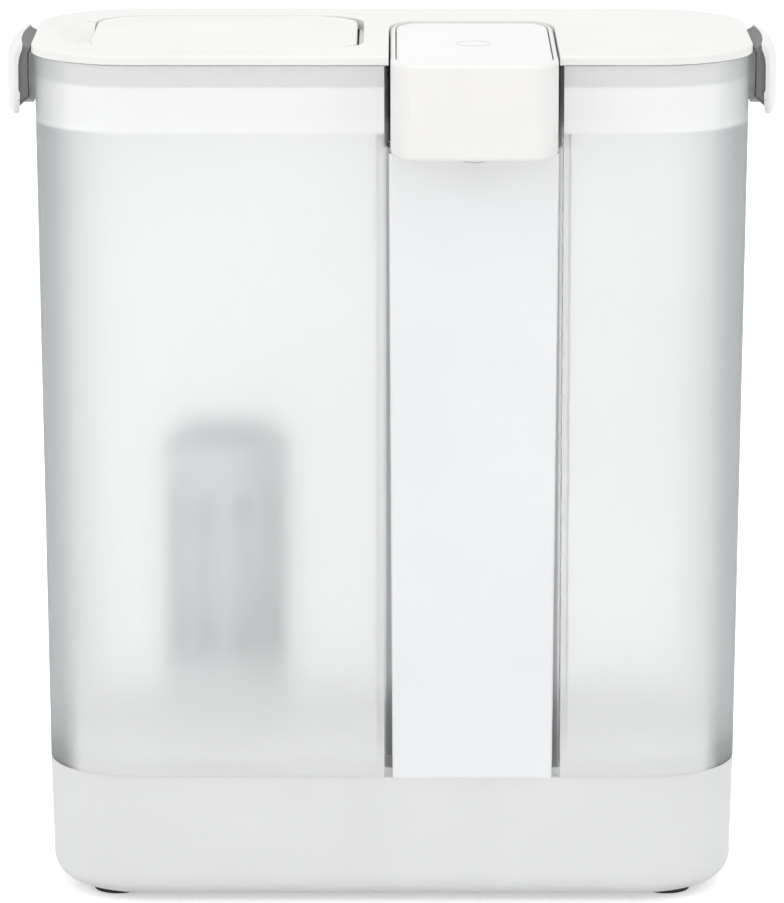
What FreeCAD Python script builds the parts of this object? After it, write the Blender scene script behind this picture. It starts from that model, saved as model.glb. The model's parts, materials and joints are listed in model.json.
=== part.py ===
import FreeCAD, Part
import math
import os

V = FreeCAD.Vector
UP = V(0, 0, 1)

# Overall sizes, in millimetres: X to the right, Y to the back, Z up from the table
lid_width = 236.0
lid_depth = 112.0
lid_corner = 34.0
lid_top = 285.5
rim_plate = 3.0
rim_gap = 0.4
wall = 2.4

# Tank: a drafted shell, wider at its rim than at the seam with the base
rim_inset = 1.0
seam_height = 44.5
seam_side_inset = 3.5
seam_front_inset = 2.25
seam_corner_drop = 1.5
tank_floor = 3.0
tank_floor_round = 5.0
lip_gap = 0.3
lip_wall = 1.6
lip_drop = 3.0

# Base tray and its screws and feet
base_draft = 1.0
base_floor = 2.6
base_round = 8.5
foot_stand = 2.5
foot_radius = 8.0
foot_sink = 1.2
foot_round = 0.5
foot_gap = 0.1
post_radius = 5.5
post_side_inset = 22.5
post_front_inset = 22.75
boss_radius = 4.5
boss_drop = 12.0
screw_radius = 1.6
screw_head_radius = 3.2
screw_head_height = 2.0
screw_head_depth = 4.0
screw_bite = 8.0
screw_gap = 0.15

# Tap head: overhangs the front and stands in a notch of the lid
fill_tap_gap = 11.0
tap_width = 54.0
tap_length = 100.0
tap_height = 31.2
tap_overhang = 20.0
tap_proud = 0.0
tap_corner_width = 9.0
tap_corner_length = 16.0
tap_wall = 2.0
tap_round = 1.6
tap_gap = 0.6
tap_cover = 2.0
tap_cover_gap = 0.15
dock_wall = 2.0
dock_floor = 2.0
dock_gap = 0.3

# Dispense button: the glossy top of the tap head
button_inset = 1.6
button_gap = 0.35
button_plate = 1.6
button_sink = 0.3
button_recess = 3.2
button_travel = 1.0
button_round = 0.4
deck = 1.3
stem_radius = 3.0
stem_gap = 0.08
stem_reach = 5.5
spring_strip = 0.3
spring_width = 6.0
spring_span = 22.0
spring_offset = 22.0

# Front channel with the riser behind its cover
channel_margin = 2.0
channel_depth = 18.0
cover_sheet = 2.0
cover_round = 1.0
cover_gap_top = 2.3
cover_gap_bottom = 3.5
cover_top_gap = 0.8
cover_foot_gap = 0.3
riser_radius = 3.2
riser_bore = 2.2
riser_gap = 0.1
riser_back_gap = 0.4
socket_radius = 5.4
socket_bore = 4.2
socket_depth = 10.0
socket_drop = 1.5

# Lid: plug skirt, latch notches and pins
lid_round = 1.0
skirt_wall = 2.0
skirt_gap = 0.5
skirt_step = 2.5
skirt_depth = 22.3
skirt_band = 15.0
gasket_height = 3.0
latch_width = 46.0
latch_gap = 0.3
latch_notch_gap = 0.5
latch_barrel = 1.5
latch_axis_inset = 1.9
latch_pin_radius = 0.8
latch_pin_seat = 4.0
pin_running_gap = 0.05
pin_seat_gap = 0.02
latch_flare = 9.3
latch_shoulder = 9.5
latch_drop = 24.5
latch_tip = 2.6
latch_tip_cut = 1.0
latch_lug_gap = 0.5
latch_tip_rise = 3.0
latch_corner = 8.0
lug_proud = 2.3
lug_width = 40.0
lug_height = 15.5
lug_top_drop = 4.0
lug_round = 0.8
hook_width = 24.0
hook_bite = 1.2
hook_height = 1.8
hook_gap = 0.4

# Fill port and its hinged cover
fill_margin = 19.5
fill_y = -1.5
fill_width = 87.0
fill_side_margin = 17.5
fill_corner = 16.0
fill_gap = 0.6
fill_sheet = 3.0
fill_rest_gap = 0.3
fill_ledge = 5.0
fill_collar = 4.0
fill_collar_drop = 5.0
fill_round = 0.8
fill_end_gap = 1.6
hinge_inset = 16.0
hinge_barrel = 2.6
hinge_pin_radius = 1.2
hinge_pin_seat = 3.0
pocket_gap = 0.4
pocket_wall = 1.6
fill_seal_width = 2.0
fill_seal_drop = 1.2
fill_seal_gap = 0.5
scoop_width = 50.0
scoop_reach = 12.0
scoop_depth = 5.2
scoop_floor = 2.0
scoop_undercut = 1.5

# Filter cartridge on its seat
filter_offset = 0.5
filter_radius = 20.5
filter_wall = 1.6
filter_height = 96.0
filter_foot = 13.0
filter_outlet = 5.0
filter_core_radius = 16.0
filter_core_bore = 5.0
filter_plug = 5.0
filter_plug_gap = 0.2
filter_cap_height = 4.0
filter_cap_round = 1.5
grip_length = 28.0
grip_width = 5.0
grip_height = 5.0
slot_count = 10
slot_width = 6.0
slot_end_margin = 14.0
seat_flange = 15.0
seat_flange_height = 2.0
seat_neck = 9.0
seat_neck_height = 10.0
seat_bore = 4.0
seat_tail = 6.0
seat_tail_drop = 6.0
ring_section = 1.2
ring_fit = 0.1
ring_rest = 0.02

# Water way in the base
duct_radius = 5.0
duct_bore = 3.5
duct_level = 22.0
duct_wall = 2.2
duct_fit = 0.1

# Pump and electrics in the tap head
spigot_radius = 3.4
spigot_bore = 1.6
spigot_drop = 9.0
spigot_flange = 6.0
spigot_flange_height = 1.0
pump_radius = 12.0
pump_wall = 1.6
pump_chamber_height = 5.2
pump_eye = 2.2
impeller_gap = 0.6
impeller_disc = 1.2
impeller_hub = 3.0
blade_height = 2.6
blade_sheet = 1.0
blade_count = 6
shaft_radius = 1.0
shaft_reach = 9.0
motor_radius = 10.0
motor_height = 15.0
motor_round = 1.0
spout_setback = 10.0
spout_radius = 4.0
spout_bore = 2.6
spout_proud = 1.2
spout_roof = 1.5
spout_gap = 0.2
outlet_radius = 2.0
outlet_bore = 1.3
outlet_bite = 1.4
board_side = 10.0
board_length = 50.0
board_sheet = 1.6
board_back_gap = 2.0
board_post = 1.8
board_post_inset = 2.6
switch_side = 6.0
switch_height = 3.4
switch_gap = 0.2
battery_radius = 8.0
battery_length = 44.0
battery_gap = 0.1
cradle_sheet = 3.0
cradle_wall = 1.5
usb_width = 9.0
usb_height = 3.4
usb_length = 7.5
usb_shell = 0.5
usb_gap = 0.3
tap_boss = 3.0
tap_boss_side = 6.5
tap_boss_front = 15.0
tap_boss_back = 14.0
tap_screw_radius = 1.1
tap_screw_head = 2.0
tap_screw_head_height = 1.2
tap_screw_bite = 6.0

# Values for all cuts: one overrun, and the share that makes a quarter oval from a cubic curve
overrun = 2.0
oval_share = 0.5523
scoop_round_share = 0.6
blade_curve_share = 0.5
cradle_share = 0.33
same_level = 0.001

# Levels and places worked out from the sizes above
seam_width = lid_width - 2 * seam_side_inset
seam_depth = lid_depth - 2 * seam_front_inset
seam_corner = lid_corner - seam_corner_drop
post_x = seam_width / 2 - post_side_inset
post_y = seam_depth / 2 - post_front_inset
fill_left = fill_margin - lid_width / 2
fill_depth = lid_depth - 2 * fill_side_margin
fill_x = fill_left + fill_width / 2
filter_x = fill_x - filter_offset
tap_x = fill_left + fill_width + fill_tap_gap + tap_width / 2
rim_height = lid_top - rim_plate - rim_gap
plate_bottom = lid_top - rim_plate
rim_outline = (lid_width - 2 * rim_inset, lid_depth - 2 * rim_inset, lid_corner - rim_inset)
seam_outline = (seam_width, seam_depth, seam_corner)
base_outline = (seam_width - 2 * base_draft, seam_depth - 2 * base_draft, seam_corner - base_draft)
rim_side = rim_outline[0] / 2
tank_front = -rim_outline[1] / 2
floor_top = seam_height + tank_floor
base_floor_top = foot_stand + base_floor
channel_width = tap_width + 2 * channel_margin
channel_left = tap_x - channel_width / 2
channel_right = tap_x + channel_width / 2
channel_back = tank_front + channel_depth
riser_y = channel_back - riser_back_gap - socket_radius
tap_top = lid_top + tap_proud
tap_bottom = tap_top - tap_height
tap_front = -lid_depth / 2 - tap_overhang
tap_back = tap_front + tap_length
tap_y = (tap_front + tap_back) / 2
tap_cover_top = tap_bottom + tap_cover
deck_top = tap_top - button_recess
deck_bottom = deck_top - deck
button_bottom = tap_top - button_sink - button_plate
riser_top = tap_bottom - socket_drop
tail_bottom = seam_height - seat_tail_drop
seat_top = floor_top + seat_flange_height
skirt_bottom = plate_bottom - skirt_depth
skirt_shelf = skirt_bottom + skirt_band
lug_top = lid_top - lug_top_drop
lug_bottom = lug_top - lug_height
lug_face = rim_side + lug_proud
latch_x = lid_width / 2 - latch_axis_inset
latch_z = lid_top - latch_barrel
fill_floor = lid_top - fill_sheet - fill_rest_gap
fill_room = fill_depth / 2 + fill_gap
hinge_x = fill_x + fill_width / 2 - hinge_inset
hinge_z = lid_top - fill_sheet
pocket_radius = math.hypot(hinge_inset, fill_sheet) + pocket_gap
pocket_left = hinge_x - hinge_barrel - 2 * pocket_gap
collar_bottom = plate_bottom - fill_collar_drop
port_left = fill_left + fill_ledge
port_right = pocket_left - pocket_wall
port_x = (port_left + port_right) / 2
port_size = (port_right - port_left, fill_depth - 2 * fill_ledge, fill_corner - fill_ledge)
spout_y = tap_front + spout_setback
pump_floor = tap_cover_top + pump_wall
pump_roof = pump_floor + pump_chamber_height
pump_top = pump_roof + pump_wall
chamber_radius = pump_radius - pump_wall
impeller_radius = chamber_radius - impeller_gap
outlet_level = pump_floor + pump_chamber_height / 2
spigot_ring = spigot_radius + ring_rest
spigot_ring_section = socket_bore - pin_running_gap - spigot_ring
switch_top = tap_top - stem_reach - button_travel - switch_gap
board_width = tap_width - 2 * board_side
board_top = switch_top - switch_height
board_bottom = board_top - board_sheet
board_back = tap_back - tap_wall - board_back_gap
board_y = board_back - board_length / 2
battery_z = tap_cover_top + cradle_wall + battery_radius
tap_boss_x = tap_width / 2 - tap_boss_side
tap_boss_places = [(tap_x + side * tap_boss_x, y) for side in (-1, 1)
                   for y in (tap_front + tap_boss_front, tap_back - tap_boss_back)]
post_places = [(x, y) for x in (-post_x, post_x) for y in (-post_y, post_y)]


# Small helpers for outlines and simple solids
def section(low, high, share, inset):
    """Width, depth and corner part of the way between two outlines, drawn in by inset."""
    width, depth, corner = [a + (b - a) * share for a, b in zip(low, high)]
    return width - 2 * inset, depth - 2 * inset, corner - inset


def tank_size(z, inset):
    return section(seam_outline, rim_outline, (z - seam_height) / (rim_height - seam_height), inset)


def base_size(z, inset):
    return section(base_outline, seam_outline, (z - foot_stand) / (seam_height - foot_stand), inset)


def inner_size(size, inset):
    return section(size, size, 0, inset)


def rounded_wire(size, z, x=0, y=0):
    """Rectangle with round corners, as lines and quarter circles."""
    width, depth, corner = size
    edges = []
    for turn, (sx, sy) in enumerate(((1, 1), (-1, 1), (-1, -1), (1, -1))):
        middle = V(x + sx * (width / 2 - corner), y + sy * (depth / 2 - corner), z)
        edges.append(Part.makeCircle(corner, middle, UP, 90 * turn, 90 * turn + 90))
    ends = [edge.lastVertex().Point for edge in edges]
    starts = [edge.firstVertex().Point for edge in edges]
    lines = [Part.makeLine(ends[i], starts[(i + 1) % len(edges)]) for i in range(len(edges))]
    return Part.Wire([edge for pair in zip(edges, lines) for edge in pair])


def rounded_prism(size, z0, z1, x=0, y=0):
    return Part.Face(rounded_wire(size, z0, x, y)).extrude(UP * (z1 - z0))


def rounded_ring(size, thickness, z0, z1):
    return rounded_prism(size, z0, z1).cut(rounded_prism(inner_size(size, thickness), z0, z1))


def drafted(size_at, z0, z1, inset):
    """Straight-sided solid between two levels of a drafted form."""
    wires = [rounded_wire(size_at(z, inset), z) for z in (z0, z1)]
    return Part.makeLoft(wires, True, True)


def tap_wire(grow, z):
    """Plan of the tap head, with oval corners, grown or drawn in all round."""
    half_width = tap_width / 2 + grow
    half_length = tap_length / 2 + grow
    corner = (tap_corner_width + grow, tap_corner_length + grow)
    edges = []
    for sx, sy in ((1, 1), (-1, 1), (-1, -1), (1, -1)):
        side = V(tap_x + sx * half_width, tap_y + sy * (half_length - corner[1]), z)
        end = V(tap_x + sx * (half_width - corner[0]), tap_y + sy * half_length, z)
        curve = Part.BezierCurve()
        poles = [side, side + V(0, sy * oval_share * corner[1], 0),
                 end + V(sx * oval_share * corner[0], 0, 0), end]
        curve.setPoles(poles if sx == sy else poles[::-1])
        edges.append(curve.toShape())
    ends = [edge.lastVertex().Point for edge in edges]
    starts = [edge.firstVertex().Point for edge in edges]
    lines = [Part.makeLine(ends[i], starts[(i + 1) % len(edges)]) for i in range(len(edges))]
    return Part.Wire([edge for pair in zip(edges, lines) for edge in pair])


def tap_prism(grow, z0, z1):
    return Part.Face(tap_wire(grow, z0)).extrude(UP * (z1 - z0))


def box(x0, x1, y0, y1, z0, z1):
    return Part.makeBox(x1 - x0, y1 - y0, z1 - z0, V(x0, y0, z0))


def rod(radius, z0, z1, x, y):
    return Part.makeCylinder(radius, z1 - z0, V(x, y, z0))


def cross_rod(radius, y0, y1, x, z):
    """Cylinder that lies along Y."""
    return Part.makeCylinder(radius, y1 - y0, V(x, y0, z), V(0, 1, 0))


def turned(points, x, y):
    """Solid of revolution about a vertical axis, from radius and height pairs."""
    outline = Part.makePolygon([V(x + r, y, z) for r, z in points + points[:1]])
    return Part.Face(outline).revolve(V(x, y, 0), UP, 360)


def ring_seal(radius, section_radius, z, x, y):
    return Part.makeTorus(radius, section_radius, V(x, y, z))


def joined(shapes):
    return shapes[0].multiFuse(shapes[1:]).removeSplitter()


def softened(shape, radius, *levels):
    """Round the edges that lie flat at the given levels."""
    def lies_at(edge, z):
        return all(abs(vertex.Z - z) < same_level for vertex in edge.Vertexes)
    edges = [edge for edge in shape.Edges if any(lies_at(edge, z) for z in levels)]
    return shape.makeFillet(radius, edges)


# Tank and base
def channel_space(grow, z0):
    """Space of the front channel, grown at its sides and back."""
    return box(channel_left - grow, channel_right + grow, tap_front, channel_back + grow,
               z0, rim_height + overrun)


def catch_lug(side):
    lug = box(rim_side - wall, lug_face, -lug_width / 2, lug_width / 2, lug_bottom, lug_top)
    front = [edge for edge in lug.Edges
             if all(abs(vertex.X - lug_face) < same_level for vertex in edge.Vertexes)]
    lug = lug.makeFillet(lug_round, front)
    return lug if side > 0 else lug.mirror(V(0, 0, 0), V(1, 0, 0))


def tank():
    outer = drafted(tank_size, seam_height, rim_height, 0)
    inner = drafted(tank_size, floor_top, rim_height + overrun, wall)
    inner = softened(inner, tank_floor_round, floor_top).cut(channel_space(wall, seam_height))
    shell = outer.cut(channel_space(0, floor_top)).cut(inner)
    cover_foot = -tank_size(floor_top, 0)[1] / 2 + cover_sheet + cover_foot_gap
    shell = shell.cut(box(channel_left, channel_right, tap_front, cover_foot, seam_height, floor_top))
    lip = rounded_ring(inner_size(seam_outline, wall + lip_gap), lip_wall,
                       seam_height - lip_drop, seam_height)
    bosses = [rod(boss_radius, seam_height - boss_drop, seam_height, x, y) for x, y in post_places]
    shell = joined([shell, lip, catch_lug(-1), catch_lug(1)] + bosses)
    for x, y in post_places:
        shell = shell.cut(rod(screw_radius + screw_gap, seam_height - boss_drop,
                              seam_height - boss_drop + screw_bite + screw_gap, x, y))
    shell = shell.cut(rod(seat_tail + duct_fit, tail_bottom, floor_top + overrun, filter_x, 0))
    shell = shell.cut(rod(riser_radius + riser_gap, tail_bottom, floor_top + overrun, tap_x, riser_y))
    passage = box(tap_x - tap_width / 2 - tap_gap, tap_x + tap_width / 2 + tap_gap, channel_back - overrun,
                  channel_back + wall + overrun, tap_bottom - tap_gap, rim_height + overrun)
    return shell.cut(passage)


def base():
    outer = softened(drafted(base_size, foot_stand, seam_height, 0), base_round, foot_stand)
    inner = drafted(base_size, base_floor_top, seam_height + overrun, wall)
    inner = softened(inner, base_round - wall, base_floor_top)
    tray = outer.cut(inner)
    posts = [rod(post_radius, base_floor_top - base_floor / 2, seam_height - boss_drop, x, y)
             for x, y in post_places]
    tray = joined([tray] + posts)
    foot_seat = foot_stand + foot_sink
    for x, y in post_places:
        tray = tray.cut(rod(foot_radius + foot_gap, 0, foot_seat, x, y))
        tray = tray.cut(rod(screw_head_radius + screw_gap, 0, foot_seat + screw_head_depth, x, y))
        tray = tray.cut(rod(screw_radius + screw_gap, 0, seam_height, x, y))
    return tray


def foot(x, y):
    return softened(rod(foot_radius, 0, foot_stand + foot_sink, x, y), foot_round, 0)


def base_screws():
    shoulder = foot_stand + foot_sink + screw_head_depth
    screws = []
    for x, y in post_places:
        head = rod(screw_head_radius, shoulder - screw_head_height, shoulder, x, y)
        shank = rod(screw_radius, shoulder, seam_height - boss_drop + screw_bite, x, y)
        screws.append(joined([head, shank]))
    return Part.Compound(screws)


# Water way: filter seat, duct in the base, riser behind the front cover
def ring_groove(neck, level, section_radius):
    """Radius and height pairs of a square groove for a ring seal, from the top down."""
    depth = neck - section_radius
    return [(neck, level + section_radius), (depth, level + section_radius),
            (depth, level - section_radius), (neck, level - section_radius)]


def filter_seat():
    neck_top = seat_top + seat_neck_height
    groove = ring_groove(seat_neck, seat_top + seat_neck_height / 2, ring_section)
    return turned([(seat_bore, neck_top), (seat_neck, neck_top)] + groove +
                  [(seat_neck, seat_top), (seat_flange, seat_top), (seat_flange, floor_top),
                   (seat_tail, floor_top), (seat_tail, tail_bottom), (seat_bore, tail_bottom)],
                  filter_x, 0)


def filter_seat_seal():
    return ring_seal(seat_neck + ring_rest, ring_section, seat_top + seat_neck_height / 2, filter_x, 0)


def filter_outlet_duct():
    run = V(tap_x - filter_x, riser_y, 0)
    start = V(filter_x, 0, duct_level)
    cups = [(seat_tail, seat_bore, filter_x, 0), (riser_radius, riser_bore, tap_x, riser_y)]
    bottom = duct_level - duct_radius - duct_wall
    solids = [Part.makeCylinder(duct_radius, run.Length, start, run)]
    hollows = [Part.makeCylinder(duct_bore, run.Length, start, run)]
    for radius, bore, x, y in cups:
        solids.append(rod(radius + duct_fit + duct_wall, bottom, seam_height, x, y))
        hollows.append(rod(bore, duct_level, tail_bottom, x, y))
        hollows.append(rod(radius + duct_fit, tail_bottom, seam_height, x, y))
    duct = joined(solids)
    for hollow in hollows:
        duct = duct.cut(hollow)
    return duct


def riser_tube():
    cup_floor = riser_top - socket_depth
    cone_foot = cup_floor - socket_radius
    return turned([(riser_bore, tail_bottom), (riser_radius, tail_bottom), (riser_radius, cone_foot),
                   (socket_radius, cup_floor), (socket_radius, riser_top), (socket_bore, riser_top),
                   (socket_bore, cup_floor), (riser_bore, cup_floor)], tap_x, riser_y)


def cover_frame(z):
    """Left, right and front of the front cover at one level."""
    share = (z - seam_height) / (tap_bottom - seam_height)
    side_gap = cover_gap_bottom + (cover_gap_top - cover_gap_bottom) * share
    return channel_left + side_gap, channel_right - side_gap, -tank_size(z, 0)[1] / 2


def cover_strip(left_at, right_at, back_at, z0, z1):
    """Solid strip of the front cover, from the drafted front back to back_at."""
    wires = []
    for z in (z0, z1):
        left, right, front = cover_frame(z)
        left, right, back = left_at(left, right), right_at(left, right), back_at(front)
        points = [V(left, front, z), V(right, front, z), V(right, back, z), V(left, back, z)]
        wires.append(Part.makePolygon(points + points[:1]))
    return Part.makeLoft(wires, True, True)


def riser_cover():
    """Panel that stands on the base, with two returns to the back of the channel."""
    top = tap_bottom - cover_top_gap
    panel = cover_strip(lambda a, b: a, lambda a, b: b, lambda front: front + cover_sheet, seam_height, top)
    edges = [edge for edge in panel.Edges if edge.BoundBox.ZLength > channel_width
             and edge.BoundBox.YMax < tank_front + cover_sheet]
    panel = panel.makeFillet(cover_round, edges)
    left = cover_strip(lambda a, b: a + cover_round, lambda a, b: a + cover_round + cover_sheet,
                       lambda front: channel_back, floor_top, top)
    right = cover_strip(lambda a, b: b - cover_round - cover_sheet, lambda a, b: b - cover_round,
                        lambda front: channel_back, floor_top, top)
    return joined([panel, left, right])


# Lid with its gasket, dock and pins
def latch_notch(side):
    inner = latch_x - latch_barrel - latch_notch_gap
    half = latch_width / 2 + latch_gap
    notch = box(inner, lid_width / 2 + overrun, -half, half, rim_height, lid_top + overrun)
    pin_half = half + latch_pin_seat
    hole = cross_rod(latch_pin_radius + pin_seat_gap, -pin_half, pin_half, latch_x, latch_z)
    cut = notch.fuse(hole)
    return cut if side > 0 else cut.mirror(V(0, 0, 0), V(1, 0, 0))


def fill_pocket(grow, top):
    """Round pocket under the fill cover's hinged end, which dips into it as the cover opens."""
    radius = pocket_radius + grow
    half = fill_room + grow
    round_part = cross_rod(radius, fill_y - half, fill_y + half, hinge_x, hinge_z)
    return round_part.common(box(pocket_left - grow, hinge_x + radius, fill_y - half, fill_y + half,
                                 hinge_z - radius, top))


def fill_recess():
    size = inner_size((fill_width, fill_depth, fill_corner), -fill_gap)
    recess = [rounded_prism(size, fill_floor, lid_top + overrun, fill_x + shift, fill_y)
              for shift in (0, fill_end_gap)]
    pin_half = fill_room + hinge_pin_seat
    hole = cross_rod(hinge_pin_radius + pin_seat_gap, fill_y - pin_half, fill_y + pin_half, hinge_x, hinge_z)
    port = rounded_prism(port_size, collar_bottom - overrun, lid_top + overrun, port_x, fill_y)
    return recess + [fill_pocket(0, fill_floor), hole, port]


def finger_scoop():
    width = scoop_reach + scoop_undercut
    size = (width, scoop_width, width / 2 - same_level)
    x = fill_left + scoop_undercut - width / 2
    dish = rounded_prism(size, lid_top - scoop_depth, lid_top + overrun, x, fill_y)
    return softened(dish, scoop_depth * scoop_round_share, lid_top - scoop_depth)


def lid_skirt():
    fit = tank_size(skirt_bottom, wall + skirt_gap)
    neck = inner_size(fit, skirt_step)
    band = rounded_ring(fit, skirt_wall, skirt_bottom, skirt_shelf)
    shelf = rounded_ring(fit, skirt_step + skirt_wall, skirt_shelf - skirt_wall, skirt_shelf)
    riser = rounded_ring(neck, skirt_wall, skirt_shelf - skirt_wall, plate_bottom)
    return joined([band, shelf, riser]).cut(channel_space(wall + skirt_gap, skirt_bottom - overrun))


def lid():
    outline = (lid_width, lid_depth, lid_corner)
    plate = softened(rounded_prism(outline, plate_bottom, lid_top), lid_round, lid_top)
    seat = rounded_prism(inner_size(rim_outline, wall / 2), rim_height, plate_bottom)
    collar_size = inner_size((fill_width, fill_depth, fill_corner), -fill_collar)
    collar = rounded_prism(collar_size, collar_bottom, plate_bottom, fill_x, fill_y)
    scoop_half = scoop_width / 2 + scoop_floor
    scoop_block = box(fill_left - scoop_reach - scoop_floor, fill_left, fill_y - scoop_half,
                      fill_y + scoop_half, lid_top - scoop_depth - scoop_floor, plate_bottom)
    pocket = fill_pocket(pocket_wall, plate_bottom)
    body = joined([plate, seat, lid_skirt(), collar, pocket, scoop_block])
    cuts = fill_recess() + [finger_scoop(), latch_notch(-1), latch_notch(1),
                            tap_prism(tap_gap, collar_bottom, lid_top + overrun)]
    for cut in cuts:
        body = body.cut(cut)
    return body


def lid_gasket():
    fit = tank_size(skirt_shelf, wall + ring_fit)
    neck = inner_size(tank_size(skirt_bottom, wall + skirt_gap), skirt_step)
    top = skirt_shelf + gasket_height
    ring = rounded_prism(fit, skirt_shelf, top).cut(rounded_prism(neck, skirt_shelf, top))
    return ring.cut(channel_space(wall + skirt_gap, skirt_shelf - overrun))


def tap_dock():
    tub = tap_prism(tap_gap + dock_wall, tap_bottom - dock_floor, rim_height)
    tub = tub.cut(tap_prism(tap_gap, tap_bottom, rim_height + overrun))
    front = channel_back + wall + dock_gap
    rim = tap_gap + dock_wall + overrun
    reach = tap_width / 2 + rim
    return tub.cut(box(tap_x - reach, tap_x + reach, tap_front - rim, front,
                       tap_bottom - dock_floor - overrun, rim_height + overrun))


def latch_pin(side):
    half = latch_width / 2 + latch_gap + latch_pin_seat
    return cross_rod(latch_pin_radius, -half, half, side * latch_x, latch_z)


def fill_cover_pin():
    half = fill_room + hinge_pin_seat
    return cross_rod(hinge_pin_radius, fill_y - half, fill_y + half, hinge_x, hinge_z)


# Latches and fill cover
def latch(side):
    edge = lid_width / 2
    outer = edge + latch_flare
    inner = lug_face + latch_lug_gap
    tip = lid_top - latch_drop
    under = lid_top - 2 * latch_barrel
    middle = V(outer - latch_shoulder, 0, lid_top - latch_shoulder)
    bulge = latch_shoulder * math.sin(math.pi / 4)

    def at(x, z):
        return V(x, -latch_width / 2, z)
    corners = [at(outer, lid_top - latch_shoulder), at(outer, tip + latch_tip_rise),
               at(outer - latch_tip_cut, tip), at(outer - latch_tip_cut - latch_tip, tip),
               at(inner, lug_bottom), at(inner, under), at(latch_x, under)]
    shoulder = Part.Arc(at(middle.x, lid_top), at(middle.x + bulge, middle.z + bulge), corners[0])
    barrel = Part.Arc(corners[-1], at(latch_x - latch_barrel, latch_z), at(latch_x, lid_top))
    edges = [shoulder.toShape()] + [Part.makeLine(a, b) for a, b in zip(corners, corners[1:])]
    edges += [barrel.toShape(), Part.makeLine(at(latch_x, lid_top), at(middle.x, lid_top))]
    body = Part.Face(Part.Wire(edges)).extrude(V(0, latch_width, 0))
    tongue = box(latch_x - latch_barrel - overrun, outer + overrun, -latch_width / 2, latch_width / 2,
                 tip, lid_top + overrun)
    ends = [e for e in tongue.Edges if all(abs(v.Z - tip) < same_level for v in e.Vertexes)
            and e.BoundBox.XLength > latch_flare]
    body = body.common(tongue.makeFillet(latch_corner, ends))
    hook_top = lug_bottom - hook_gap
    hook = box(lug_face - hook_bite, inner + hook_height, -hook_width / 2, hook_width / 2,
               hook_top - hook_height, hook_top)
    bore = cross_rod(latch_pin_radius + pin_running_gap, -latch_width, latch_width, latch_x, latch_z)
    body = joined([body, hook]).cut(bore)
    return body if side > 0 else body.mirror(V(0, 0, 0), V(1, 0, 0))


def fill_cover():
    plate = rounded_prism((fill_width, fill_depth, fill_corner), lid_top - fill_sheet, lid_top, fill_x, fill_y)
    plate = softened(plate, fill_round, lid_top)
    half = fill_depth / 2 - fill_gap
    barrel = cross_rod(hinge_barrel, fill_y - half, fill_y + half, hinge_x, hinge_z)
    bore = cross_rod(hinge_pin_radius + pin_running_gap, fill_y - fill_room, fill_y + fill_room, hinge_x, hinge_z)
    return joined([plate, barrel]).cut(bore)


def fill_cover_seal():
    top = lid_top - fill_sheet
    outer = inner_size(port_size, fill_seal_gap)
    ring = rounded_prism(outer, top - fill_seal_drop, top, port_x, fill_y)
    inner = inner_size(outer, fill_seal_width)
    return ring.cut(rounded_prism(inner, top - fill_seal_drop, top, port_x, fill_y))


# Filter cartridge
def filter_housing():
    top = seat_top + filter_height
    floor = seat_top + filter_foot
    neck_room = seat_neck + ring_rest + ring_section + ring_fit
    bore_top = seat_top + seat_neck_height + ring_section
    shell = turned([(neck_room, seat_top), (filter_radius, seat_top), (filter_radius, top),
                    (filter_radius - filter_wall, top), (filter_radius - filter_wall, floor),
                    (filter_outlet, floor), (filter_outlet, bore_top), (neck_room, bore_top)], filter_x, 0)
    slot = box(0, filter_radius + overrun, -slot_width / 2, slot_width / 2,
               floor + slot_end_margin, top - slot_end_margin)
    core = rod(filter_radius - filter_wall - overrun, seat_top, top, 0, 0)
    slot = slot.cut(core)
    for index in range(slot_count):
        window = slot.copy()
        window.rotate(V(0, 0, 0), UP, 360 * index / slot_count)
        window.translate(V(filter_x, 0, 0))
        shell = shell.cut(window)
    return shell


def filter_core():
    floor = seat_top + filter_foot
    top = seat_top + filter_height - filter_plug
    return turned([(filter_core_bore, floor), (filter_core_radius, floor),
                   (filter_core_radius, top), (filter_core_bore, top)], filter_x, 0)


def filter_cap():
    top = seat_top + filter_height
    plug = rod(filter_radius - filter_wall - filter_plug_gap, top - filter_plug, top, filter_x, 0)
    disc = softened(rod(filter_radius, top, top + filter_cap_height, filter_x, 0),
                    filter_cap_round, top + filter_cap_height)
    grip_top = top + filter_cap_height + grip_height
    grip = box(filter_x - grip_length / 2, filter_x + grip_length / 2, -grip_width / 2, grip_width / 2,
               top + filter_cap_height - filter_cap_round, grip_top)
    return joined([plug, disc, softened(grip, filter_cap_round, grip_top)])


# Tap head: housing, cover and button
def tap_housing():
    outer = softened(tap_prism(0, tap_bottom, tap_top), tap_round, tap_bottom, tap_top)
    shell = outer.cut(tap_prism(-tap_wall, tap_bottom - overrun, deck_bottom))
    shell = shell.cut(tap_prism(-button_inset, deck_top, tap_top + overrun))
    bosses = [rod(tap_boss, tap_cover_top, deck_bottom, x, y) for x, y in tap_boss_places]
    shell = joined([shell] + bosses)
    for x, y in tap_boss_places:
        shell = shell.cut(rod(tap_screw_radius + screw_gap, tap_cover_top,
                              tap_cover_top + tap_screw_bite + screw_gap, x, y))
    shell = shell.cut(rod(stem_radius + stem_gap, deck_bottom - overrun, deck_top + overrun, tap_x, tap_y))
    half = usb_width / 2 + usb_gap
    return shell.cut(box(tap_x - half, tap_x + half, tap_back - tap_wall - overrun, tap_back + overrun,
                         board_top - usb_gap, board_top + usb_height + usb_gap))


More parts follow.
